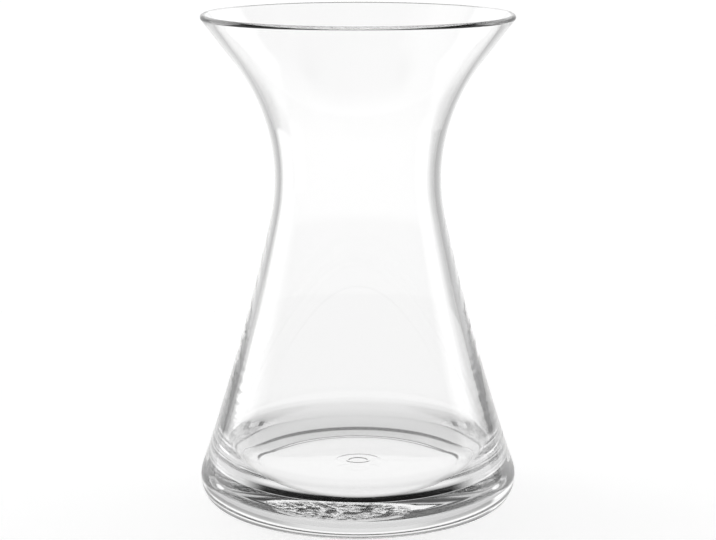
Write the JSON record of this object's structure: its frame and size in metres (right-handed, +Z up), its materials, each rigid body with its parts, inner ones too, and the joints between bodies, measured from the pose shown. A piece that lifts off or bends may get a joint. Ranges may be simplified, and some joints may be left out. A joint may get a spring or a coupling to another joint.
{
  "type": "hyacinth forcing vase",
  "caption": "Waisted clear glass vase with a flared mouth that holds a bulb above a conical water chamber on a thick solid base.",
  "frame": {"origin": "centre of the ring that the vase stands on, at the surface under it", "axes": "+Z up along the axis of the vase, from the foot to the mouth; X and Y are alike, because the vase is round"},
  "size_m": [0.1182, 0.1182, 0.18],
  "materials": {
    "clear_glass": "clear, smooth, fire polished"
  },
  "bodies": {
    "root": {"vase_body": "clear_glass"}
  },
  "joints": []
}
